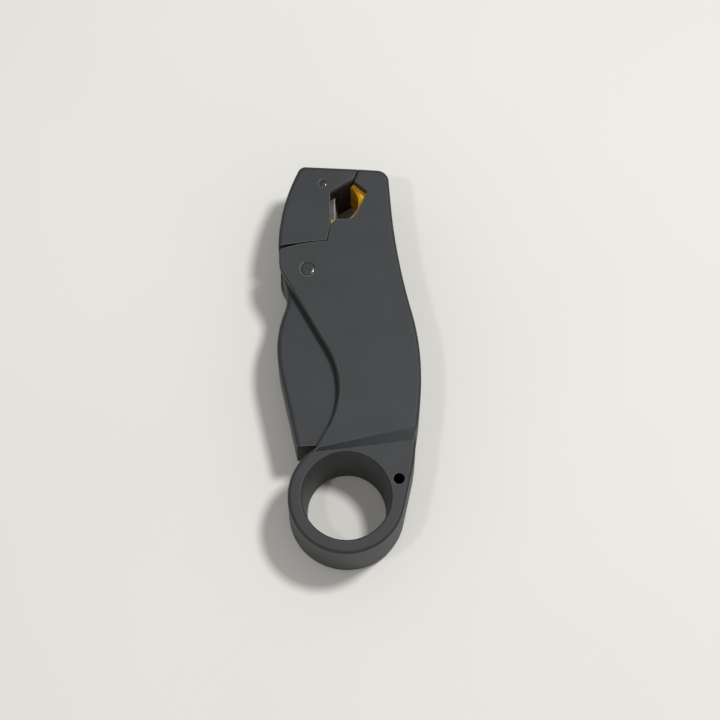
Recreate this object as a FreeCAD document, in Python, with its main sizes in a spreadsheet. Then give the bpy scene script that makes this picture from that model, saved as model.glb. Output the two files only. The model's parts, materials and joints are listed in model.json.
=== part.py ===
import FreeCAD, Part

import math
import os
import re

import Sketcher

# A rotary stripper for coaxial cable, lying on its back.
# X runs to the right, Y from the finger ring to the jaws, Z up out of the front face.
# The sketches are drawn about the finger ring's centre, and every piece is then shifted so
# that the origin is the middle of the tool's outline, on the face that it lies on.

SIZES = [
    ("body_depth", 23.0, "back face to front face of the main plates"),
    ("wall", 2.9, "front and back wall of the housing"),
    ("spine", 3.2, "closed right side of the housing"),
    ("ring_step", 0.9, "how far each face of the ring lies below the main plates"),
    ("outer_round", 0.9, "rounding along the outer edges"),
    ("overcut", 1.0, "how far a cut runs out beyond the piece"),
    ("edge_break", 0.5, "small bevel along the thumb cut-out of the walls"),
    ("ring_top_y", 15.1, "top of the finger ring"),
    ("ring_band", 3.65, "finger ring, from the hole to the outside"),
    ("finger_radius", 11.45, "finger hole at the front face"),
    ("finger_draft", 1.2, "how much narrower the finger hole is at the back"),
    ("finger_bevel", 0.45, "bevelled rim of the finger hole"),
    ("cord_hole_in", 1.5, "hole for a wrist cord, inwards from the ring's right side"),
    ("cord_hole_up", 4.2, "hole for a wrist cord, above the ring's middle"),
    ("cord_hole_radius", 1.5, "hole for a wrist cord"),
    ("ring_flank_turn", 13.5, "degrees below the middle where the ring's flank starts"),
    ("ring_flank", 10.5, "straight flank of the ring"),
    ("ring_neck_out", 3.15, "upper end of the ring's side, outwards from the ring"),
    ("ring_neck_up", 18.0, "upper end of the ring's side, above the ring's middle"),
    ("ring_overlap", 4.0, "how far the ring's plate runs on inside the main plates"),
    ("crease_left_x", -14.0, "left end of the slope between plate and ring"),
    ("crease_left_low_y", 11.0, "left end of that slope, foot"),
    ("crease_left_high_y", 11.4, "left end of that slope, top"),
    ("crease_right_x", 24.0, "right end of the slope between plate and ring"),
    ("crease_right_low_y", 14.9, "right end of that slope, foot"),
    ("crease_right_high_y", 18.8, "right end of that slope, top"),
    ("plate_tail_x", -8.5, "main plates, lower left corner"),
    ("plate_tail_y", 10.6, "main plates, lower left corner"),
    ("plate_foot_x", 17.5, "main plates, lower right corner"),
    ("plate_foot_y", 13.4, "main plates, lower right corner"),
    ("plate_side_x", 18.6, "right edge where the belly starts"),
    ("plate_side_y", 17.5, "right edge where the belly starts"),
    ("belly_x", 20.1, "widest point of the right edge"),
    ("belly_y", 33.0, "widest point of the right edge"),
    ("waist_x", 17.8, "right edge where the belly turns to the waist"),
    ("waist_y", 50.0, "right edge where the belly turns to the waist"),
    ("shoulder_x", 13.75, "right edge where the waist ends"),
    ("shoulder_y", 75.0, "right edge where the waist ends"),
    ("waist_curve", 160.0, "hollow curve of the right edge above the waist"),
    ("head_right_x", 13.2, "right edge just below the head's corner"),
    ("head_right_y", 84.0, "right edge just below the head's corner"),
    ("head_corner_x", 10.0, "top edge just left of the head's corner"),
    ("head_corner_y", 87.45, "top edge just left of the head's corner"),
    ("head_corner_curve", 3.2, "head's right corner"),
    ("top_seam_x", 5.25, "joint between the jaws at the top edge"),
    ("top_seam_y", 87.9, "joint between the jaws at the top edge"),
    ("notch_top_x", 3.75, "notch in the walls, upper left end"),
    ("notch_top_y", 84.6, "notch in the walls, upper left end"),
    ("notch_tip_x", 7.5, "notch in the walls, right tip"),
    ("notch_tip_y", 81.4, "notch in the walls, right tip"),
    ("notch_side_x", 5.1, "notch in the walls, lower right"),
    ("notch_side_y", 76.9, "notch in the walls, lower right"),
    ("notch_curve", 3.8, "notch in the walls, rounded corner"),
    ("notch_floor_x", 2.0, "notch in the walls, floor"),
    ("notch_floor_y", 74.1, "notch in the walls, floor"),
    ("notch_lead", 0.35, "bevelled upper edge of the notch in the walls"),
    ("notch_lip_x", -0.9, "notch in the walls, where the floor dips to the seam"),
    ("seam_top_x", -2.15, "upright seam between jaw and housing, upper end"),
    ("seam_top_y", 73.1, "upright seam between jaw and housing, upper end"),
    ("seam_low_x", -3.25, "upright seam between jaw and housing, lower end"),
    ("seam_low_y", 68.25, "upright seam between jaw and housing, lower end"),
    ("cheek_top_x", -15.75, "left end of the housing's top edge over the pivot"),
    ("cheek_top_y", 66.3, "left end of the housing's top edge over the pivot"),
    ("cheek_curve", 49.0, "curve of the housing's top edge over the pivot"),
    ("cheek_side_x", -16.0, "housing's left side beside the pivot"),
    ("cheek_side_y", 65.95, "housing's left side beside the pivot, upper end"),
    ("cheek_low_y", 62.8, "housing's left side beside the pivot, lower end"),
    ("cheek_turn", 5.3, "rounded corner between left side and thumb cut-out"),
    ("cut_top_x", -15.4, "thumb cut-out of the walls, upper end"),
    ("cut_top_y", 60.3, "thumb cut-out of the walls, upper end"),
    ("cut_mid_x", -4.0, "thumb cut-out, where the straight stretch ends"),
    ("cut_mid_y", 39.2, "thumb cut-out, where the straight stretch ends"),
    ("cut_curve", 20.9, "thumb cut-out, large round stretch"),
    ("cut_low_x", -5.1, "thumb cut-out, where it turns down to the ring"),
    ("cut_low_y", 17.1, "thumb cut-out, where it turns down to the ring"),
    ("cut_tail_curve", 35.8, "thumb cut-out, tail that runs out on the ring"),
    ("slot_floor_y", 13.4, "lower end of the slot between the walls"),
    ("slot_top_y", 85.2, "upper end of the slot between the walls"),
    ("slot_corner", 3.0, "rounded corner of the slot"),
    ("shelf_depth", 2.0, "rib that carries the cable block"),
    ("shelf_left_x", 1.2, "free end of that rib"),
    ("stop_y", 24.0, "rib that stops the lever"),
    ("stop_depth", 2.2, "rib that stops the lever"),
    ("stop_left_x", 7.0, "free end of the rib that stops the lever"),
    ("seam_gap", 0.25, "gap between jaw and housing"),
    ("play", 0.25, "gap on each side of the lever between the walls"),
    ("jaw_top_left_x", -8.2, "jaw's top edge, left end"),
    ("jaw_top_left_y", 88.85, "jaw's top edge, left end"),
    ("jaw_cheek_x", -10.7, "jaw's left side, upper end"),
    ("jaw_cheek_y", 87.35, "jaw's left side, upper end"),
    ("jaw_cheek_curve", 2.2, "jaw's left corner"),
    ("jaw_side_curve", 46.6, "bow of the jaw's left side"),
    ("jaw_low_x", -16.15, "jaw's lower left corner"),
    ("jaw_low_y", 67.3, "jaw's lower left corner"),
    ("jaw_mid_y", 68.15, "jaw's lower edge over the pivot"),
    ("grip_top_y", 81.25, "jaw's gripping face, upper end"),
    ("grip_lead", 0.5, "bevelled lead-in along the gripping face"),
    ("pivot_x", -8.6, "pivot of the lever"),
    ("pivot_y", 60.8, "pivot of the lever"),
    ("pivot_radius", 1.8, "pivot pin"),
    ("pivot_recess", 2.05, "sunk ring round the pivot pin's ends, radius"),
    ("recess_depth", 0.3, "sunk ring round a pin's end, depth"),
    ("pin_play", 0.03, "running gap of a pin in its hole"),
    ("neck_half", 6.0, "lever's neck, pivot to its right edge"),
    ("grip_hollow_top_y", 59.5, "thumb hollow of the lever, upper end"),
    ("grip_left_x", -15.3, "left edge of the lever's neck"),
    ("grip_hollow_curve", 11.4, "thumb hollow of the lever"),
    ("grip_hollow_low_x", -15.1, "thumb hollow of the lever, lower end"),
    ("grip_hollow_low_y", 49.9, "thumb hollow of the lever, lower end"),
    ("bulge_x", -17.05, "widest point of the lever"),
    ("bulge_y", 40.0, "widest point of the lever"),
    ("bulge_low_x", -16.5, "thumb bulge of the lever, lower end"),
    ("bulge_low_y", 34.0, "thumb bulge of the lever, lower end"),
    ("lever_end_y", 14.0, "lower end of the lever"),
    ("lever_end_x", -12.6, "lower end of the lever, left corner"),
    ("lever_inner_low_x", -3.6, "lower end of the lever, corner behind the wall"),
    ("lever_inner_x", 1.4, "inner edge of the lever at its widest"),
    ("lever_inner_y", 23.0, "inner edge of the lever, lower turn"),
    ("lever_inner_top_y", 35.0, "inner edge of the lever, upper turn"),
    ("lever_wall", 2.4, "wall of the hollow lever"),
    ("lever_round", 1.2, "rounding of the lever's outer edges"),
    ("hollow_top_y", 50.0, "upper end of the hollow in the lever"),
    ("blade_pin_x", -4.05, "pin that the blades turn on"),
    ("blade_pin_y", 84.0, "pin that the blades turn on"),
    ("blade_pin_radius", 1.0, "pin that the blades turn on"),
    ("blade_recess", 1.2, "sunk ring round the blade pin's ends, radius"),
    ("blade_plate", 0.6, "blade thickness"),
    ("blade_front_off", 4.5, "front blade, ahead of the middle of the tool"),
    ("blade_rear_off", 1.5, "rear blade, behind the middle of the tool"),
    ("blade_gap", 0.05, "gap on each side of a blade"),
    ("tip_radius", 0.5, "flat end of an adjusting screw's point"),
    ("point_long", 0.9, "point of an adjusting screw"),
    ("end_bevel", 0.3, "bevelled ends of pins and screws"),
    ("pin_sunk", 0.12, "how far a pin's ends lie below the faces"),
    ("block_horn", 52.0, "degrees above the middle where the cable saddle ends"),
    ("block_horn_x", 4.6, "cable block, left end of its upper side"),
    ("insert_fit", 0.02, "gap round a threaded insert"),
    ("leg_turn", 50.0, "degrees between upright and the spring's free leg"),
    ("spring_rib_y", 59.1, "rib that the spring's free leg works against"),
    ("spring_rib_depth", 2.0, "rib that the spring's free leg works against"),
    ("spring_rib_x", 0.6, "free end of that rib"),
    ("blade_edge_x", -1.0, "cutting edge of a blade that stands upright"),
    ("blade_edge_top_y", 82.4, "cutting edge, upper end"),
    ("blade_edge_low_y", 76.2, "cutting edge, lower end"),
    ("blade_toe_x", -1.4, "lower corner beside the cutting edge"),
    ("blade_low_y", 75.8, "lower end of a blade"),
    ("blade_back_x", -7.2, "back of a blade"),
    ("blade_back_y", 80.2, "back of a blade, upper end"),
    ("blade_eye", 2.1, "eye round the blade pin"),
    ("blade_bevel", 0.5, "ground bevel along the cutting edge"),
    ("blade_land", 0.05, "what the bevels leave of the thickness at the edge"),
    ("rear_turn", 10.0, "degrees that the rear blade is set deeper"),
    ("pack_side", 2.6, "outer blade spacers"),
    ("pocket_left_x", -9.0, "blade pocket in the jaw, left end"),
    ("pocket_low_y", 73.95, "blade pocket in the jaw, lower end"),
    ("pocket_top_y", 86.6, "blade pocket in the jaw, upper end"),
    ("pocket_right_x", 0.4, "blade pocket in the jaw, right end of its upper part"),
    ("pocket_fit", 0.05, "gap round what sits in the blade pocket"),
    ("spacer_left_x", -4.9, "left edge of a blade spacer beside the screws"),
    ("spacer_back_x", -6.6, "left edge of a blade spacer beside the pin"),
    ("spacer_waist_y", 80.4, "where a blade spacer narrows"),
    ("screw_y", 77.0, "height of the adjusting screws"),
    ("screw_radius", 1.5, "adjusting screw"),
    ("screw_long", 6.0, "adjusting screw"),
    ("screw_fit", 0.05, "gap between screw and nut, on the radius"),
    ("screw_touch", 0.12, "gap between a screw's tip and its blade"),
    ("key_flats", 1.5, "hexagon socket of the adjusting screws, across flats"),
    ("key_deep", 1.6, "hexagon socket of the adjusting screws, depth"),
    ("nut_radius", 2.3, "threaded insert of an adjusting screw"),
    ("nut_left_x", -13.6, "outer end of the threaded insert"),
    ("nut_right_x", -9.2, "inner end of the threaded insert"),
    ("nut_flange", 0.35, "knurled band of the insert stands out by this much"),
    ("nut_band", 1.4, "knurled band of the insert, width"),
    ("cable_y", 79.94, "centre of the cable saddle"),
    ("cable_radius", 5.12, "cable saddle, half of the largest cable"),
    ("block_left_x", -2.2, "cable block, side towards the jaw"),
    ("block_low_y", 73.4, "cable block, lower side"),
    ("block_fit", 0.2, "gap between cable block and housing"),
    ("block_lead", 0.8, "bevelled lead-in at both ends of the saddle"),
    ("spring_wire", 0.9, "wire of the return spring"),
    ("spring_inner", 2.35, "coil of the return spring, inside radius"),
    ("spring_turns", 4.0, "turns of the return spring"),
    ("spring_pitch", 1.05, "rise of one turn of the return spring"),
    ("spring_leg", 11.0, "length of the return spring's legs"),
    ("spring_room", 0.5, "room round the coil in the lever"),
]

FUNCTIONS = {"sin", "cos", "tan", "sqrt", "abs"}
# Heights, radii and volumes that differ by less than this are taken as equal.
SAME = 1e-4

doc = FreeCAD.newDocument("CableStripper")
sheet = doc.addObject("Spreadsheet::Sheet", "Sizes")
for row, (alias, value, meaning) in enumerate(SIZES, start=1):
    sheet.set("A%d" % row, alias)
    sheet.set("B%d" % row, str(value))
    sheet.set("C%d" % row, meaning)
    sheet.setAlias("B%d" % row, alias)
doc.recompute()


def cells(text):
    """Turn a formula in the names of the sizes into one that reads the sheet."""

    def name(match):
        word = match.group(0)
        return word if word in FUNCTIONS else "Sizes." + word

    return re.sub(r"[a-z_]+(?:_[a-z]+)*", name, str(text))


def value_of(text):
    """Work out a formula in the names of the sizes."""
    result = sheet.evalExpression(cells(text))
    return float(getattr(result, "Value", result))


def plane(body, role):
    """One of the body's own origin planes."""
    return next(item for item in body.Origin.OriginFeatures if item.Role == role)


def new_sketch(body, name, height="0", role="XY_Plane"):
    """A sketch on an origin plane of the body, raised by a formula along the plane's normal."""
    sketch = body.newObject("Sketcher::SketchObject", name)
    sketch.AttachmentSupport = (plane(body, role), [""])
    sketch.MapMode = "FlatFace"
    sketch.setExpression("AttachmentOffset.Base.z", cells(height))
    return sketch


def drive(sketch, kind, references, formula):
    """A dimension of the sketch that follows the sheet."""
    index = sketch.addConstraint(Sketcher.Constraint(kind, *references, value_of(formula)))
    sketch.setExpression("Constraints[%d]" % index, cells(formula))


def arc_between(start, end, radius, turn):
    """The short arc from start to end: turn is 1 to the left of the way, -1 to the right."""
    chord = end - start
    half = chord.Length / 2
    across = FreeCAD.Vector(-chord.y, chord.x, 0).normalize() * turn
    centre = start + chord / 2 + across * math.sqrt(max(radius**2 - half**2, 0.0))
    first, last = (start, end) if turn > 0 else (end, start)
    angles = [math.atan2(p.y - centre.y, p.x - centre.x) for p in (first, last)]
    return Part.ArcOfCircle(Part.Circle(centre, FreeCAD.Vector(0, 0, 1), radius), *angles)


def draw(sketch, corners):
    """Draw a closed outline. A corner is (x, y) or (x, y, radius, turn), all formulas, where
    radius and turn give the arc that leads on from it. Without them the side is straight."""
    points = [FreeCAD.Vector(value_of(c[0]), value_of(c[1]), 0) for c in corners]
    ends = []
    for number, corner in enumerate(corners):
        start = points[number]
        end = points[(number + 1) % len(points)]
        if len(corner) == 2:
            side = sketch.addGeometry(Part.LineSegment(start, end))
            ends.append((side, 1, 2))
        else:
            radius = corner[2]
            side = sketch.addGeometry(arc_between(start, end, value_of(radius), corner[3]))
            ends.append((side, 1, 2) if corner[3] > 0 else (side, 2, 1))
    for number, corner in enumerate(corners):
        side, first, _ = ends[number]
        before, _, last = ends[number - 1]
        sketch.addConstraint(Sketcher.Constraint("Coincident", before, last, side, first))
        drive(sketch, "DistanceX", (side, first), corner[0])
        drive(sketch, "DistanceY", (side, first), corner[1])
        if len(corner) > 2:
            drive(sketch, "Radius", (side,), corner[2])


def draw_circle(sketch, x, y, radius):
    """A circle whose centre and radius are formulas."""
    centre = FreeCAD.Vector(value_of(x), value_of(y), 0)
    normal = FreeCAD.Vector(0, 0, 1)
    side = sketch.addGeometry(Part.Circle(centre, normal, value_of(radius)))
    drive(sketch, "DistanceX", (side, 3), x)
    drive(sketch, "DistanceY", (side, 3), y)
    drive(sketch, "Radius", (side,), radius)


def extrude(kind, body, sketch, length):
    """A pad upwards from the sketch, or a pocket downwards from it."""
    feature = body.newObject("PartDesign::" + kind, kind + sketch.Name)
    feature.Profile = sketch
    feature.setExpression("Length", cells(length))
    doc.recompute()
    return feature


def pad(body, name, corners, low, high):
    """A pad of an outline between two heights."""
    sketch = new_sketch(body, name, low)
    draw(sketch, corners)
    return extrude("Pad", body, sketch, "(%s) - (%s)" % (high, low))


def pocket(body, name, corners, low, high):
    """A pocket of an outline between two heights. It has to take material away."""
    sketch = new_sketch(body, name, high)
    draw(sketch, corners)
    return cut(body, sketch, "(%s) - (%s)" % (high, low))


def hole(body, name, x, y, radius, low, high):
    """A round hole along Z between two heights."""
    sketch = new_sketch(body, name, high)
    draw_circle(sketch, x, y, radius)
    return cut(body, sketch, "(%s) - (%s)" % (high, low))


def cut(body, sketch, length):
    """Pocket downwards from the sketch, and check that it took material away."""
    before = body.Tip.Shape.Volume
    feature = extrude("Pocket", body, sketch, length)
    if feature.Shape.Volume > before - SAME:
        raise ValueError(sketch.Name + " cuts nothing")
    return feature


def soften(body, name, base, radius, wanted, kind="Fillet"):
    """Round or bevel the edges of the base feature that the test wants."""
    edges = ["Edge%d" % (n + 1) for n, edge in enumerate(base.Shape.Edges) if wanted(edge)]
    if not edges:
        raise ValueError(name + " finds no edge")
    feature = body.newObject("PartDesign::" + kind, name)
    feature.Base = (base, edges)
    feature.setExpression("Radius" if kind == "Fillet" else "Size", cells(radius))
    doc.recompute()
    return feature


def level(edge, *heights):
    """Whether an edge lies flat at one of the heights."""
    box = edge.BoundBox
    flat = box.ZLength < SAME
    return flat and any(abs(box.ZMin - value_of(height)) < SAME for height in heights)


def middle(edge):
    """The point half way along an edge."""
    return edge.valueAt((edge.FirstParameter + edge.LastParameter) / 2)


def new_body(label):
    """An empty body."""
    body = doc.addObject("PartDesign::Body", label)
    body.Label = label
    return body


SHIFT_X = "-(belly_x + bulge_x) / 2"
RING = "(finger_radius + ring_band)"
RING_Y = "(ring_top_y - finger_radius - ring_band)"
SHIFT_Y = "-(jaw_top_left_y + %s - %s) / 2" % (RING_Y, RING)
LEVER_LOW = "wall + play"
LEVER_HIGH = "body_depth - wall - play"
pieces = []


def place(piece, x="0", y="0", z="0", turn=None):
    """Shift a finished piece from the ring's centre to the part's origin."""
    piece.setExpression("Placement.Base.x", cells("(%s) + %s" % (x, SHIFT_X)))
    piece.setExpression("Placement.Base.y", cells("(%s) + %s" % (y, SHIFT_Y)))
    piece.setExpression("Placement.Base.z", cells(z))
    if turn:
        piece.setExpression("Placement.Rotation.Angle", cells(turn))
    pieces.append(piece)


def bow(x_from, y_from, x_to, y_to):
    """Radius of an arc that starts at the first point, runs to the second and is upright there."""
    across = "(%s - %s)" % (x_from, x_to)
    along = "(%s - %s)" % (y_from, y_to)
    return "abs((%s^2 + %s^2) / (2 * %s))" % (across, along, across)


def sweep(x_from, y_from, x_to, y_to, slope):
    """Radius of an arc, bent to the left, that starts along a line that leans this many degrees."""
    across = "(%s - %s)" % (x_to, x_from)
    along = "(%s - %s)" % (y_to, y_from)
    inwards = "(%s * sin(%s) - %s * cos(%s))" % (along, slope, across, slope)
    return "(%s^2 + %s^2) / (2 * %s)" % (across, along, inwards)


# Housing: one moulding with two walls, a closed right side and the finger ring.
# The ring is a thinner plate of its own level, and the main plates run out on it in a slope.
FLANK_LOW = (
    "(%s * cos(ring_flank_turn))" % RING,
    "(%s - %s * sin(ring_flank_turn))" % (RING_Y, RING),
)
FLANK_HIGH = (
    "(%s + ring_flank * sin(ring_flank_turn))" % FLANK_LOW[0],
    "(%s + ring_flank * cos(ring_flank_turn))" % FLANK_LOW[1],
)
NECK = ("(%s + ring_neck_out)" % RING, "(%s + ring_neck_up)" % RING_Y)
ring = new_body("ring_plate")
ring_pad = pad(
    ring,
    "RingOutline",
    [
        ("0", "ring_top_y", RING, 1),
        ("-" + RING, RING_Y, RING, 1),
        ("0", "%s - %s" % (RING_Y, RING), RING, 1),
        FLANK_LOW,
        (*FLANK_HIGH, sweep(*FLANK_HIGH, *NECK, "ring_flank_turn"), 1),
        NECK,
        (NECK[0] + " - 2 * outer_round", NECK[1] + " + ring_overlap"),
        ("0", NECK[1] + " + ring_overlap"),
    ],
    "ring_step",
    "body_depth - ring_step",
)
neck_y = value_of(NECK[1])
soften(
    ring,
    "RingEdges",
    ring_pad,
    "outer_round",
    lambda e: level(e, "ring_step", "body_depth - ring_step")
    and ("Circle" in str(e.Curve) or 0.1 < middle(e).x and middle(e).y < neck_y),
)

housing = new_body("housing")
plate_pad = pad(
    housing,
    "PlateOutline",
    [
        ("plate_tail_x", "plate_tail_y"),
        ("plate_foot_x", "plate_foot_y"),
        ("plate_side_x", "plate_side_y", bow("plate_side_x", "plate_side_y", "belly_x", "belly_y"), 1),
        ("belly_x", "belly_y", bow("waist_x", "waist_y", "belly_x", "belly_y"), 1),
        ("waist_x", "waist_y", "waist_curve", -1),
        ("shoulder_x", "shoulder_y"),
        ("head_right_x", "head_right_y", "head_corner_curve", 1),
        ("head_corner_x", "head_corner_y"),
        ("top_seam_x", "top_seam_y"),
        ("notch_top_x", "notch_top_y"),
        ("notch_tip_x", "notch_tip_y"),
        ("notch_side_x", "notch_side_y", "notch_curve", -1),
        ("notch_floor_x", "notch_floor_y"),
        ("notch_lip_x", "notch_floor_y"),
        ("seam_top_x", "seam_top_y"),
        ("seam_low_x", "seam_low_y", "cheek_curve", 1),
        ("cheek_top_x", "cheek_top_y"),
        ("cheek_side_x", "cheek_side_y"),
        ("cheek_side_x", "cheek_low_y", "cheek_turn", 1),
        ("cut_top_x", "cut_top_y"),
        ("cut_mid_x", "cut_mid_y", "cut_curve", -1),
        ("cut_low_x", "cut_low_y", "cut_tail_curve", 1),
    ],
    "0",
    "body_depth",
)
right_x = value_of("head_corner_x + outer_round / 4")
top_y = value_of("head_right_y")
outer = soften(
    housing,
    "OuterEdges",
    plate_pad,
    "outer_round",
    lambda e: level(e, "0", "body_depth") and (middle(e).x > right_x or middle(e).y > top_y),
)
cut_x = value_of("belly_x / 2")
cut_y = value_of("cheek_side_y + edge_break")
low_y = value_of("plate_foot_y")
cut_out = soften(
    housing,
    "CutOutEdges",
    outer,
    "edge_break",
    lambda e: level(e, "0", "body_depth")
    and middle(e).x < cut_x
    and low_y < middle(e).y < cut_y,
    "Chamfer",
)
notch_x = value_of("notch_top_x")
notch_low_y = value_of("notch_tip_y")
notch_high_y = value_of("notch_top_y")
soften(
    housing,
    "NotchLeadIn",
    cut_out,
    "notch_lead",
    lambda e: level(e, "0", "body_depth")
    and notch_x < middle(e).x < right_x
    and notch_low_y < middle(e).y < notch_high_y,
    "Chamfer",
)


def crease(name, face, outwards):
    """Cut the sloping end of a main plate down to the level of the ring."""
    sections = []
    for end in ("left", "right"):
        sketch = new_sketch(housing, name + end.title(), "crease_%s_x" % end, "YZ_Plane")
        low = "crease_%s_low_y" % end
        high = "crease_%s_high_y" % end
        foot = "%s - (%s) * ring_step" % (face, outwards)
        beyond = "%s + (%s) * overcut" % (face, outwards)
        corners = [("0", foot), (low, foot), (high, face), (high, beyond), ("0", beyond)]
        draw(sketch, corners)
        sections.append(sketch)
    loft = housing.newObject("PartDesign::SubtractiveLoft", name)
    loft.Profile = sections[0]
    loft.Sections = [sections[1]]
    loft.Ruled = True
    doc.recompute()
    return loft


crease("FrontCrease", "body_depth", "1")
crease("BackCrease", "0", "-1")

joined = housing.newObject("PartDesign::Boolean", "JoinRing")
joined.setObjects([ring])
joined.Type = "Fuse"
doc.recompute()

finger = new_sketch(housing, "FingerHole", "-" + RING_Y, "XZ_Plane")
back_radius = "(finger_radius - finger_draft)"
front = "(body_depth - ring_step)"
draw(
    finger,
    [
        ("0", "-overcut"),
        (back_radius + " + finger_bevel", "-overcut"),
        (back_radius + " + finger_bevel", "ring_step"),
        (back_radius, "ring_step + finger_bevel"),
        ("finger_radius", front + " - finger_bevel"),
        ("finger_radius + finger_bevel", front),
        ("finger_radius + finger_bevel", "body_depth + overcut"),
        ("0", "body_depth + overcut"),
    ],
)
groove = housing.newObject("PartDesign::Groove", "FingerHoleCut")
groove.Profile = finger
groove.ReferenceAxis = (finger, ["V_Axis"])
groove.Angle = 360
doc.recompute()

CORD_HOLE = (RING + " - cord_hole_in", RING_Y + " + cord_hole_up")
hole(housing, "CordHole", *CORD_HOLE, "cord_hole_radius", "0", "body_depth")

pocket(
    housing,
    "Slot",
    [
        ("jaw_low_x * 2", "slot_floor_y"),
        ("plate_side_x - spine - slot_corner", "slot_floor_y", "slot_corner", 1),
        ("plate_side_x - spine", "slot_floor_y + slot_corner"),
        (
            "plate_side_x - spine",
            "plate_side_y",
            bow("plate_side_x", "plate_side_y", "belly_x", "belly_y"),
            1,
        ),
        ("belly_x - spine", "belly_y", bow("waist_x", "waist_y", "belly_x", "belly_y"), 1),
        ("waist_x - spine", "waist_y", "waist_curve", -1),
        ("shoulder_x - spine", "shoulder_y"),
        ("head_right_x - spine", "slot_top_y"),
        ("jaw_low_x * 2", "slot_top_y"),
    ],
    "wall",
    "body_depth - wall",
)


def rib(name, left_x, right_x, low_y, high_y):
    """A rib across the slot, from a free end to the closed side."""
    corners = [(left_x, low_y), (right_x, low_y), (right_x, high_y), (left_x, high_y)]
    pad(housing, name, corners, "wall / 2", "body_depth - wall / 2")


SHELF_TOP = "block_low_y - block_fit"
rib("BlockShelf", "shelf_left_x", "shoulder_x - spine / 2", SHELF_TOP + " - shelf_depth", SHELF_TOP)
rib("LeverStop", "stop_left_x", "belly_x - spine / 2", "stop_y", "stop_y + stop_depth")
SPRING_RIB_TOP = "spring_rib_y + spring_rib_depth"
rib("SpringRib", "spring_rib_x", "waist_x - spine", "spring_rib_y", SPRING_RIB_TOP)

PIVOT = ("pivot_x", "pivot_y")
hole(housing, "PivotHole", *PIVOT, "pivot_radius + pin_play", "0", "body_depth")
hole(housing, "PivotRecess", *PIVOT, "pivot_recess", "body_depth - recess_depth", "body_depth")
hole(housing, "PivotRecessBack", *PIVOT, "pivot_recess", "0", "recess_depth")
place(housing)

# Lever: the moving jaw and the thumb lever are one moulding. The jaw is as deep as the housing,
# and the rest works between the walls.
GRIP_END = ("notch_top_x - seam_gap / 2", "notch_top_y + seam_gap / 4")
lever = new_body("lever")
jaw_pad = pad(
    lever,
    "JawOutline",
    [
        ("seam_low_x - seam_gap", "seam_low_y + seam_gap"),
        ("seam_top_x - seam_gap", "seam_top_y"),
        ("seam_top_x - seam_gap", "grip_top_y"),
        GRIP_END,
        ("top_seam_x - seam_gap / 2", "top_seam_y"),
        ("jaw_top_left_x", "jaw_top_left_y", "jaw_cheek_curve", 1),
        ("jaw_cheek_x", "jaw_cheek_y", "jaw_side_curve", 1),
        ("jaw_low_x", "jaw_low_y"),
        ("pivot_x", "jaw_mid_y"),
    ],
    "0",
    "body_depth",
)
jaw_top_y = value_of("top_seam_y")
jaw_left_x = value_of("jaw_cheek_x")
jaw_low_y = value_of("jaw_low_y + outer_round")
jaw_rounds = soften(
    lever,
    "JawEdges",
    jaw_pad,
    "outer_round",
    lambda e: level(e, "0", "body_depth")
    and (middle(e).y > jaw_top_y or middle(e).x < jaw_left_x and middle(e).y > jaw_low_y),
)
grip_low_y = value_of("grip_top_y")
grip_high_y = value_of("notch_top_y")
soften(
    lever,
    "GripLeadIn",
    jaw_rounds,
    "grip_lead",
    lambda e: level(e, "0", "body_depth") and grip_low_y < middle(e).y < grip_high_y,
    "Chamfer",
)
neck_pad = pad(
    lever,
    "LeverOutline",
    [
        ("lever_inner_low_x", "lever_end_y"),
        ("lever_inner_x", "lever_inner_y"),
        ("lever_inner_x", "lever_inner_top_y"),
        ("pivot_x + neck_half", "hollow_top_y"),
        ("pivot_x + neck_half", "seam_low_y - seam_gap"),
        ("seam_low_x - 2 * seam_gap", "seam_low_y + outer_round"),
        ("grip_left_x", "seam_low_y + outer_round"),
        ("grip_left_x", "grip_hollow_top_y", "grip_hollow_curve", -1),
        (
            "grip_hollow_low_x",
            "grip_hollow_low_y",
            bow("grip_hollow_low_x", "grip_hollow_low_y", "bulge_x", "bulge_y"),
            1,
        ),
        ("bulge_x", "bulge_y", bow("bulge_low_x", "bulge_low_y", "bulge_x", "bulge_y"), 1),
        ("bulge_low_x", "bulge_low_y"),
        ("lever_end_x", "lever_end_y"),
    ],
    LEVER_LOW,
    LEVER_HIGH,
)
lever_left_x = value_of("lever_end_x")
lever_top_y = value_of("grip_hollow_top_y")
soften(
    lever,
    "LeverEdges",
    neck_pad,
    "lever_round",
    lambda e: level(e, LEVER_LOW, LEVER_HIGH)
    and middle(e).x < lever_left_x
    and middle(e).y < lever_top_y,
)
pocket(
    lever,
    "LeverHollow",
    [
        ("lever_end_x + lever_wall", "lever_end_y + lever_wall"),
        ("lever_inner_x + lever_wall", "lever_end_y + lever_wall"),
        ("lever_inner_x + lever_wall", "hollow_top_y"),
        ("grip_hollow_low_x + lever_wall", "hollow_top_y"),
        ("bulge_x + lever_wall", "bulge_y"),
        ("bulge_low_x + lever_wall", "bulge_low_y"),
    ],
    LEVER_LOW + " + lever_wall",
    LEVER_HIGH + " - lever_wall",
)
COIL_ROOM = "(spring_inner + spring_wire + spring_room)"
SPRING_HALF = "(spring_turns * spring_pitch + spring_wire) / 2 + spring_room"
SPRING_LOW = "body_depth / 2 - (%s)" % SPRING_HALF
SPRING_HIGH = "body_depth / 2 + (%s)" % SPRING_HALF
hole(lever, "CoilRoom", *PIVOT, COIL_ROOM, SPRING_LOW, SPRING_HIGH)
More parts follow.
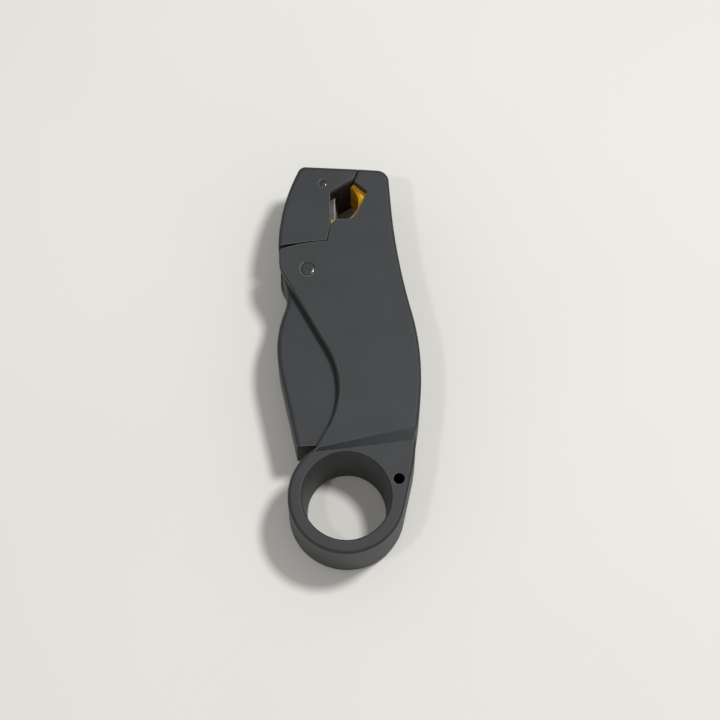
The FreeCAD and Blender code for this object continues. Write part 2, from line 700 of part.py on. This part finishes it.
pocket(
    lever,
    "LegRoom",
    [
        ("pivot_x - " + COIL_ROOM, "hollow_top_y - lever_wall"),
        ("pivot_x + neck_half + lever_wall", "hollow_top_y - lever_wall"),
        ("pivot_x + neck_half + lever_wall", "pivot_y - spring_inner"),
        ("pivot_x + spring_inner", "pivot_y + " + COIL_ROOM),
        ("pivot_x", "pivot_y"),
        ("pivot_x - " + COIL_ROOM, "pivot_y"),
    ],
    SPRING_LOW,
    SPRING_HIGH,
)
hole(lever, "LeverPivotHole", *PIVOT, "pivot_radius + pin_play", "0", "body_depth")

FRONT_Z = "(body_depth / 2 + blade_front_off)"
REAR_Z = "(body_depth / 2 - blade_rear_off)"
PACK_LOW = REAR_Z + " - blade_plate / 2 - blade_gap * 2 - pack_side"
PACK_HIGH = FRONT_Z + " + blade_plate / 2 + blade_gap * 2 + pack_side"
pocket(
    lever,
    "BladePocket",
    [
        ("pocket_left_x", "pocket_low_y"),
        ("pocket_right_x", "pocket_low_y"),
        ("pocket_right_x", "pocket_top_y"),
        ("pocket_left_x", "pocket_top_y"),
    ],
    PACK_LOW,
    PACK_HIGH,
)
BLADE_PIN = ("blade_pin_x", "blade_pin_y")
hole(lever, "BladePinHole", *BLADE_PIN, "blade_pin_radius + pin_play", "0", "body_depth")
hole(lever, "BladeRecess", *BLADE_PIN, "blade_recess", "body_depth - recess_depth", "body_depth")
hole(lever, "BladeRecessBack", *BLADE_PIN, "blade_recess", "0", "recess_depth")
BLADE_HEIGHTS = {"front": FRONT_Z, "rear": REAR_Z}
for side, height in BLADE_HEIGHTS.items():
    for name, radius, inner in (
        ("Bore", "nut_radius + insert_fit", "pocket_left_x"),
        ("Mouth", "nut_radius + nut_flange + insert_fit", "nut_left_x + nut_band"),
    ):
        bore = new_sketch(lever, side.title() + name, inner, "YZ_Plane")
        draw_circle(bore, "screw_y", height, radius)
        feature = lever.newObject("PartDesign::Pocket", side.title() + name + "Cut")
        feature.Profile = bore
        feature.setExpression("Length", cells("(%s) - jaw_low_x * 2" % inner))
        doc.recompute()
place(lever)


def turned(label, outline):
    """A turned piece: its outline is (along, radius) and it turns about X."""
    body = new_body(label)
    sketch = new_sketch(body, "Outline_" + label)
    draw(sketch, outline)
    spin = body.newObject("PartDesign::Revolution", "Turn_" + label)
    spin.Profile = sketch
    spin.ReferenceAxis = (plane(body, "X_Axis"), [""])
    spin.Angle = 360
    doc.recompute()
    return body


def pin(label, x, y, radius):
    """A plain pin through both faces, with bevelled ends."""
    body = new_body(label)
    sketch = new_sketch(body, "Outline_" + label, "pin_sunk")
    draw_circle(sketch, "0", "0", radius)
    shank = extrude("Pad", body, sketch, "body_depth - 2 * pin_sunk")
    soften(body, "Ends_" + label, shank, "end_bevel / 2", lambda e: e.Closed, "Chamfer")
    place(body, x, y)


# Pins: steel, held in the walls or in the jaw.
pin("pivot_pin", "pivot_x", "pivot_y", "pivot_radius")
pin("blade_pin", "blade_pin_x", "blade_pin_y", "blade_pin_radius")

# Cable block: an insert between the walls whose saddle presses the cable on the blades.
block = new_body("cable_block")
block_pad = pad(
    block,
    "BlockOutline",
    [
        ("block_left_x", "block_low_y"),
        ("head_right_x - spine - block_fit", "block_low_y"),
        ("head_right_x - spine - block_fit", "slot_top_y - block_fit"),
        ("block_horn_x", "slot_top_y - block_fit"),
        (
            "cable_radius * cos(block_horn)",
            "cable_y + cable_radius * sin(block_horn)",
            "cable_radius",
            -1,
        ),
        ("cable_radius", "cable_y", "cable_radius", -1),
        ("block_left_x", "cable_y - sqrt(cable_radius^2 - block_left_x^2)"),
    ],
    "wall + block_fit",
    "body_depth - wall - block_fit",
)
saddle = value_of("cable_radius")
soften(
    block,
    "SaddleLeadIn",
    block_pad,
    "block_lead",
    lambda e: level(e, "wall + block_fit", "body_depth - wall - block_fit")
    and "Circle" in str(e.Curve)
    and abs(e.Curve.Radius - saddle) < SAME,
    "Chamfer",
)
place(block)


def blade(label, height, turn):
    """A flat blade with an eye for the pin and a straight edge, ground from both sides."""
    body = new_body(label)
    edge_x = "blade_edge_x - blade_pin_x"
    back_x = "blade_back_x - blade_pin_x"
    pad(
        body,
        "Outline_" + label,
        [
            (edge_x, "blade_edge_low_y - blade_pin_y"),
            (edge_x, "blade_edge_top_y - blade_pin_y"),
            ("blade_eye", "0", "blade_eye", 1),
            ("0", "blade_eye", "blade_eye", 1),
            ("-blade_eye", "0"),
            (back_x, "blade_back_y - blade_pin_y"),
            (back_x, "blade_low_y - blade_pin_y"),
            ("blade_toe_x - blade_pin_x", "blade_low_y - blade_pin_y"),
        ],
        "-blade_plate / 2",
        "blade_plate / 2",
    )
    radius = "blade_pin_radius + pin_play"
    hole(body, "Eye_" + label, "0", "0", radius, "-blade_plate / 2", "blade_plate / 2")
    for side in ("", "-"):
        grind = new_sketch(body, "Bevel%d_%s" % (len(side), label), "blade_pin_y", "XZ_Plane")
        face = side + "blade_plate / 2"
        corners = [
            (edge_x, side + "blade_land / 2"),
            (edge_x, face),
            ("%s - blade_bevel" % edge_x, face),
        ]
        draw(grind, corners)
        cut(body, grind, "2 * blade_pin_y")
    place(body, "blade_pin_x", "blade_pin_y", height, turn)


# Blades: two steel blades on one pin. The rear one is set deeper, for the inner conductor.
blade("front_blade", FRONT_Z, "0")
blade("rear_blade", REAR_Z, "rear_turn")


def spacer(label, low, high):
    """A plate that fills the blade pocket beside a blade and leaves the screws' ends free."""
    body = new_body(label)
    face_x = "seam_top_x - seam_gap - pocket_fit"
    right_x = "pocket_right_x - pocket_fit"
    slope = "(%s - grip_top_y) / (%s - seam_top_x + seam_gap)" % (GRIP_END[1], GRIP_END[0])
    pad(
        body,
        "Outline_" + label,
        [
            ("spacer_left_x", "pocket_low_y + pocket_fit"),
            (face_x, "pocket_low_y + pocket_fit"),
            (face_x, "grip_top_y"),
            (right_x, "grip_top_y + (%s - (%s)) * %s" % (right_x, face_x, slope)),
            (right_x, "pocket_top_y - pocket_fit"),
            ("spacer_back_x", "pocket_top_y - pocket_fit"),
            ("spacer_back_x", "spacer_waist_y"),
            ("spacer_left_x", "spacer_waist_y"),
        ],
        low,
        high,
    )
    hole(body, "Eye_" + label, *BLADE_PIN, "blade_pin_radius + pin_play", low, high)
    place(body)


# Spacers: they fill the pocket beside and between the blades.
HALF_PACK = "blade_plate / 2 + blade_gap"
REAR_LOW = REAR_Z + " - (%s)" % HALF_PACK
FRONT_HIGH = FRONT_Z + " + (%s)" % HALF_PACK
spacer("rear_blade_spacer", REAR_LOW + " - pack_side", REAR_LOW)
spacer(
    "middle_blade_spacer",
    REAR_Z + " + (%s)" % HALF_PACK,
    FRONT_Z + " - (%s)" % HALF_PACK,
)
spacer("front_blade_spacer", FRONT_HIGH, FRONT_HIGH + " + pack_side")

# Threaded inserts: brass, pressed into the jaw's left side, one for each adjusting screw.
for side, height in BLADE_HEIGHTS.items():
    inner = "screw_radius + screw_fit"
    insert = turned(
        side + "_threaded_insert",
        [
            ("0", inner),
            ("nut_right_x - nut_left_x", inner),
            ("nut_right_x - nut_left_x", "nut_radius"),
            ("nut_band", "nut_radius"),
            ("nut_band", "nut_radius + nut_flange"),
            ("0", "nut_radius + nut_flange"),
        ],
    )
    place(insert, "nut_left_x", "screw_y", height)

# Adjusting screws: headless, with a hexagon socket outside and a point that bears on a blade.
ARM = "(blade_pin_y - screw_y - tip_radius)"
BACK = "(blade_pin_x - blade_back_x)"
REAR_CONTACT = "blade_pin_x + (%s * sin(rear_turn) - %s) / cos(rear_turn)" % (ARM, BACK)
CONTACTS = {"front": "blade_back_x", "rear": REAR_CONTACT}
for side, height in BLADE_HEIGHTS.items():
    label = side + "_adjusting_screw"
    screw = turned(
        label,
        [
            ("0", "0"),
            ("screw_long", "0"),
            ("screw_long", "tip_radius"),
            ("screw_long - point_long", "screw_radius"),
            ("end_bevel", "screw_radius"),
            ("0", "screw_radius - end_bevel"),
        ],
    )
    socket = new_sketch(screw, "Socket_" + label, "key_deep", "YZ_Plane")
    reach = "key_flats / sqrt(3)"
    draw(
        socket,
        [
            ("%s * cos(%d)" % (reach, angle), "%s * sin(%d)" % (reach, angle))
            for angle in range(0, 360, 60)
        ],
    )
    cut(screw, socket, "key_deep")
    place(screw, "(%s) - screw_touch - screw_long" % CONTACTS[side], "screw_y", height)


# The wire has this many narrow flats in place of a round section, which keeps its facets few.
WIRE_SIDES = 8


def spring_shape():
    """The return spring: a coil round the pivot with two straight legs, in one wire."""
    wire = value_of("spring_wire")
    mean = value_of("spring_inner") + wire / 2
    leg = value_of("spring_leg")
    pitch = value_of("spring_pitch")
    start = math.radians(value_of("leg_turn"))
    coiled = math.pi - start + 2 * math.pi * (int(value_of("spring_turns")) - 1)
    rise = pitch * coiled / (2 * math.pi)
    low = (value_of("body_depth") - rise) / 2
    helix = Part.makeHelix(pitch, rise, mean)
    helix.rotate(FreeCAD.Vector(0, 0, 0), FreeCAD.Vector(0, 0, 1), math.degrees(start))
    helix.translate(FreeCAD.Vector(0, 0, low))
    first = FreeCAD.Vector(mean * math.cos(start), mean * math.sin(start), low)
    last = FreeCAD.Vector(-mean, 0, low + rise)
    climb = pitch / (2 * math.pi * mean)
    free_way = FreeCAD.Vector(math.sin(start), -math.cos(start), -climb)
    held_way = FreeCAD.Vector(0, -1, climb)
    free_end = first + free_way * leg
    held_end = last + held_way * leg
    path = Part.Wire(
        [Part.makeLine(free_end, first), *helix.Edges, Part.makeLine(last, held_end)]
    )
    along = -free_way.normalize()
    across = along.cross(FreeCAD.Vector(0, 0, 1)).normalize()
    upright = across.cross(along)
    corners = []
    for number in range(WIRE_SIDES + 1):
        angle = 2 * math.pi * number / WIRE_SIDES
        corners.append(
            free_end + across * (wire / 2 * math.cos(angle)) + upright * (wire / 2 * math.sin(angle))
        )
    return path.makePipeShell([Part.makePolygon(corners)], True, True)


spring = doc.addObject("Part::Feature", "return_spring")
spring.Label = "return_spring"
spring.Shape = spring_shape()
place(spring, "pivot_x", "pivot_y")

doc.recompute()
for item in doc.Objects:
    if "Invalid" in item.State or "Error" in item.State:
        raise ValueError(item.Label + " failed: " + str(item.State))
for piece in pieces:
    if piece.Shape.isNull() or not piece.Shape.isValid() or len(piece.Shape.Solids) != 1:
        raise ValueError(piece.Label + " has no sound solid")
os.makedirs("parts", exist_ok=True)
for piece in pieces:
    piece.Shape.exportStep("parts/%s.step" % piece.Label)
    print("%-24s %9.1f mm3" % (piece.Label, piece.Shape.Volume))
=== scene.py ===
import json
import math

import bpy
from mathutils import Matrix, Vector


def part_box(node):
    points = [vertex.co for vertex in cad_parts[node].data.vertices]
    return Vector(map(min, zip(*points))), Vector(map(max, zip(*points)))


MM = 0.001
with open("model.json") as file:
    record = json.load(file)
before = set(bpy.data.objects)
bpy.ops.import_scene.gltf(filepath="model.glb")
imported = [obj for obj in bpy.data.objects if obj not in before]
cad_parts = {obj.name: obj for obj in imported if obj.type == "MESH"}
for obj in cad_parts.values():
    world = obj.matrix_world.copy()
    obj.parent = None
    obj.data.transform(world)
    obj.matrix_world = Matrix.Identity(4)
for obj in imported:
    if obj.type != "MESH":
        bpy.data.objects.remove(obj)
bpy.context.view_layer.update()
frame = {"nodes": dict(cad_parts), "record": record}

# Camera
# It looks at the tool from in front and a little below, as in the photo, with a long lens.
# The tool leans a little to the right in the picture. The finger ring's centre on the front face
# is where the camera's place is measured from.
TILT = math.radians(15.5)
LEAN = math.radians(1.49)
DISTANCE = 827.0 * MM
LENS = 160.0
SENSOR = 36.0
NEAREST = 10.0 * MM
RING_CENTRE = Vector((-1.525, -36.875, 23.0)) * MM
RING_IN_PICTURE = Vector((-3.449, -35.787, 0.0)) * MM


def from_picture(point):
    """A point given about the picture's middle, on the level of the front face."""
    return Matrix.Rotation(-LEAN, 3, "Z") @ (point - RING_IN_PICTURE) + RING_CENTRE


target = from_picture(Vector((0, 0, 0)))
eye = from_picture(Vector((0, -math.sin(TILT), math.cos(TILT))) * DISTANCE)
up = Matrix.Rotation(-LEAN, 3, "Z") @ Vector((0, math.cos(TILT), math.sin(TILT)))
back = (eye - target).normalized()
right = up.cross(back).normalized()
camera_data = bpy.data.cameras.new("camera")
camera_data.lens = LENS
camera_data.sensor_width = SENSOR
camera_data.clip_start = NEAREST
camera = bpy.data.objects.new("camera", camera_data)
turn = Matrix((right, back.cross(right), back)).transposed()
camera.matrix_world = Matrix.Translation(eye) @ turn.to_4x4()
bpy.context.scene.collection.objects.link(camera)
bpy.context.scene.camera = camera
bpy.context.scene.view_settings.view_transform = "Standard"


# Materials
# Each one is built from nodes on the object's own coordinates, in metres. These are the noises'
# cells a metre, and the spans of the noises' values that are spread over a change of look.
GRAIN_CELLS = 5200.0
FLOW_CELLS = 90.0
HIGHLIGHT_PATCH_CELLS = 420.0
LINE_CELLS = 2600.0
TARNISH_CELLS = 300.0
FLOOR_CELLS = 12.0
WIDE = (0.3, 0.7)
MIDDLE = (0.35, 0.65)
LOWER = (0.3, 0.6)
NONE_TO_FULL = (0.0, 1.0)
FULL_TO_NONE = (1.0, 0.0)


def linear(value):
    """An 8-bit screen value as the linear value that the shader takes."""
    value = value / 255
    return value / 12.92 if value <= 0.04045 else ((value + 0.055) / 1.055) ** 2.4


def colour(red, green, blue):
    return (linear(red), linear(green), linear(blue), 1.0)


def shaded(tint, factor):
    """A colour made darker or lighter."""
    return tuple(factor * part for part in tint[:3]) + (1.0,)


class Nodes:
    """A material's nodes, with short calls to add and join them."""

    def __init__(self, name):
        self.material = bpy.data.materials.new(name)
        self.material.use_nodes = True
        self.tree = self.material.node_tree
        self.shader = self.tree.nodes["Principled BSDF"]

    def add(self, kind, **values):
        node = self.tree.nodes.new("ShaderNode" + kind)
        for name, value in values.items():
            if name in node.inputs:
                node.inputs[name].default_value = value
            else:
                setattr(node, name, value)
        return node

    def join(self, output, target):
        self.tree.links.new(output, target)

    def place(self, stretch=(1, 1, 1)):
        """The object's coordinates, stretched."""
        spot = self.add("TexCoord")
        mapping = self.add("Mapping", Scale=stretch)
        self.join(spot.outputs["Object"], mapping.inputs["Vector"])
        return mapping.outputs["Vector"]

    def noise(self, scale, detail=2.0, rough=0.5, stretch=(1, 1, 1)):
        """Noise with about this many cells a metre."""
        node = self.add("TexNoise", Scale=scale, Detail=detail, Roughness=rough)
        self.join(self.place(stretch), node.inputs["Vector"])
        return node.outputs["Fac"]

    def spread(self, value, span, result):
        """A value that runs over a span, laid over another span and held at its ends."""
        node = self.add("MapRange")
        node.inputs["From Min"].default_value, node.inputs["From Max"].default_value = span
        node.inputs["To Min"].default_value, node.inputs["To Max"].default_value = result
        self.join(value, node.inputs["Value"])
        return node.outputs["Result"]

    def times(self, first, second):
        node = self.add("Math", operation="MULTIPLY")
        self.join(first, node.inputs[0])
        self.join(second, node.inputs[1])
        return node.outputs["Value"]

    def axis(self, vector, name):
        node = self.add("SeparateXYZ")
        self.join(vector, node.inputs["Vector"])
        return node.outputs[name]

    def mix(self, amount, first, second):
        """Two colours mixed by a value. The node's colour sockets have numbers only."""
        node = self.add("Mix", data_type="RGBA")
        self.join(amount, node.inputs["Factor"])
        for socket, value in ((node.inputs[6], first), (node.inputs[7], second)):
            if isinstance(value, tuple):
                socket.default_value = value
            else:
                self.join(value, socket)
        return node.outputs[2]

    def bump(self, height, depth, normal):
        node = self.add("Bump", Distance=depth)
        self.join(height, node.inputs["Height"])
        self.join(normal, node.inputs["Normal"])
        return node.outputs["Normal"]

    def edges(self, radius):
        """A softened normal along sharp edges, and how far it turns from the flat one."""
        bevel = self.add("Bevel", samples=8, Radius=radius)
        flat = self.add("NewGeometry")
        likeness = self.add("VectorMath", operation="DOT_PRODUCT")
        self.join(bevel.outputs["Normal"], likeness.inputs[0])
        self.join(flat.outputs["Normal"], likeness.inputs[1])
        return bevel.outputs["Normal"], likeness.outputs["Value"]


def moulded(name, base, edge_highlight, rough):
    """Moulded plastic: a fine eroded grain, faint flow marks and a painted highlight along sharp
    edges, in noise patches.
    """
    n = Nodes(name)
    normal, likeness = n.edges(0.35 * MM)
    grain = n.noise(GRAIN_CELLS, 2.0, 0.6)
    flow = n.noise(FLOW_CELLS, 3.0, 0.55)
    highlight_patches = n.noise(HIGHLIGHT_PATCH_CELLS, 3.0, 0.7)
    # Painted highlight: sharp edges are painted lighter, in noise patches, for the light that
    # rounded edges catch.
    painted_edge_highlight = n.times(n.spread(likeness, (0.995, 0.88), (0.0, 0.8)), n.spread(highlight_patches, LOWER, (0.35, 1.0)))
    body = n.mix(n.spread(flow, MIDDLE, NONE_TO_FULL), shaded(base, 0.93), shaded(base, 1.08))
    n.join(n.mix(painted_edge_highlight, body, edge_highlight), n.shader.inputs["Base Color"])
    n.join(n.spread(grain, WIDE, (rough - 0.05, rough + 0.06)), n.shader.inputs["Roughness"])
    n.join(n.bump(grain, 0.012 * MM, normal), n.shader.inputs["Normal"])
    n.shader.inputs["Specular IOR Level"].default_value = 0.3
    return n.material


def metal(name, base, rough, stretch, depth=0.004 * MM, rim=0.08 * MM, painted_land=None):
    """Worked metal: fine lines from grinding or turning, and an uneven gloss.

    A blade's bevel, from the land's inner side on, takes the land's colour: painted light, a
    highlight where the edge is lit and shade where it is not.
    """
    n = Nodes(name)
    normal, _ = n.edges(rim)
    lines = n.noise(LINE_CELLS, 3.0, 0.6, stretch)
    tarnish = n.noise(TARNISH_CELLS, 2.0, 0.5)
    skin = n.mix(n.spread(tarnish, WIDE, NONE_TO_FULL), shaded(base, 0.8), base)
    if painted_land:
        painted_land_colour, side = painted_land
        level = n.add("Math", operation="ABSOLUTE")
        n.join(n.axis(n.add("TexCoord").outputs["Normal"], "Z"), level.inputs[0])
        leaning = n.spread(level.outputs["Value"], (0.90, 0.99), FULL_TO_NONE)
        on_land = n.spread(n.axis(n.place(), "X"), (side - 0.04 * MM, side), NONE_TO_FULL)
        # Painted light: the land's colour is laid over the bevel's leaning faces, as a highlight on
        # the front blade and as shade on the rear one.
        skin = n.mix(n.times(leaning, on_land), skin, painted_land_colour)
    n.join(skin, n.shader.inputs["Base Color"])
    n.join(n.spread(lines, WIDE, (rough - 0.06, rough + 0.1)), n.shader.inputs["Roughness"])
    n.join(n.bump(lines, depth, normal), n.shader.inputs["Normal"])
    n.shader.inputs["Metallic"].default_value = 1.0
    return n.material


def blade(name, flat, painted_land_colour, side):
    """Blade steel, ground across. The honed land lies beyond its inner side, given in X; its colour
    is painted light on the bevel.
    """
    return metal(name, flat, 0.3, (14, 1, 14), painted_land=(painted_land_colour, side))


# In the photo only the front blade's edge catches the light, so the rear blade has its own look.
LAND_WIDTH = 0.36 * MM
front_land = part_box("front_blade")[1][0] - LAND_WIDTH
rear_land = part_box("rear_blade")[1][0] - LAND_WIDTH
LOOKS = {
    # The second colour of each plastic is its painted edge highlight.
    "dark_plastic": moulded("dark_plastic", colour(46, 48, 50), colour(128, 130, 128), 0.52),
    "yellow_plastic": moulded("yellow_plastic", colour(234, 174, 28), colour(242, 198, 96), 0.42),
    "black_plastic": moulded("black_plastic", colour(34, 34, 36), colour(60, 60, 60), 0.5),
    "pin_steel": metal(
        "pin_steel", colour(88, 89, 90), 0.2, (1, 1, 1), depth=0.001 * MM, rim=0.4 * MM
    ),
    # Both blades are one steel: the front land's near-white colour is a painted highlight, and the
    # rear blade's darker flat and land are painted shade.
    "blade_steel": blade(
        "blade_steel", colour(86, 88, 88), colour(252, 254, 255), front_land
    ),
    "rear_blade": blade(
        "rear_blade_steel", colour(80, 82, 82), colour(110, 110, 108), rear_land
    ),
    "screw_steel": metal("screw_steel", colour(58, 58, 62), 0.36, (3, 1, 1)),
    "spring_steel": metal("spring_steel", colour(178, 178, 174), 0.3, (1, 1, 1)),
    "insert_brass": metal("insert_brass", colour(206, 166, 88), 0.3, (6, 1, 1)),
}
for part in frame["record"]["subparts"]:
    node = frame["nodes"][part["node"]]
    node.data.materials.clear()
    look = LOOKS.get(part["node"], LOOKS[part["material_slot"]])
    node.data.materials.append(look)


# Floor and light
# A plain pale floor, a level light from all round, a soft lamp high on the right and a weak one on
# the left. The shadows in the finger hole and the glints on the pins give their sides and heights.
# Of the floor's full light, the world gives 0.4 and the two lamps the rest.
FLOOR_HALF = 3.0
WORLD_LIGHT = 0.4
floor_mesh = bpy.data.meshes.new("floor")
corners = [
    (-FLOOR_HALF, -FLOOR_HALF, 0),
    (FLOOR_HALF, -FLOOR_HALF, 0),
    (FLOOR_HALF, FLOOR_HALF, 0),
    (-FLOOR_HALF, FLOOR_HALF, 0),
]
floor_mesh.from_pydata(corners, [], [(0, 1, 2, 3)])
floor = bpy.data.objects.new("floor", floor_mesh)
bpy.context.scene.collection.objects.link(floor)
paint = Nodes("floor")
shade = paint.noise(FLOOR_CELLS)
paint.join(
    paint.mix(shade, colour(226, 224, 218), colour(232, 230, 225)),
    paint.shader.inputs["Base Color"],
)
paint.shader.inputs["Roughness"].default_value = 0.85
floor_mesh.materials.append(paint.material)

world = bpy.data.worlds.new("world")
bpy.context.scene.world = world
world.use_nodes = True
sky = world.node_tree.nodes["Background"]
sky.inputs["Color"].default_value = (1.0, 0.99, 0.975, 1.0)
sky.inputs["Strength"].default_value = WORLD_LIGHT


def soft_lamp(name, place, size, energy):
    """A round lamp that looks at the middle of the picture."""
    data = bpy.data.lights.new(name, "AREA")
    data.shape = "DISK"
    data.size = size
    data.energy = energy
    lamp = bpy.data.objects.new(name, data)
    lamp.location = place
    lamp.rotation_euler = (target - lamp.location).to_track_quat("-Z", "Y").to_euler()
    bpy.context.scene.collection.objects.link(lamp)


soft_lamp("main_lamp", (0.27, 0.13, 0.80), 0.12, 4.3)
soft_lamp("second_lamp", (-0.23, -0.15, 0.81), 0.05, 0.7)
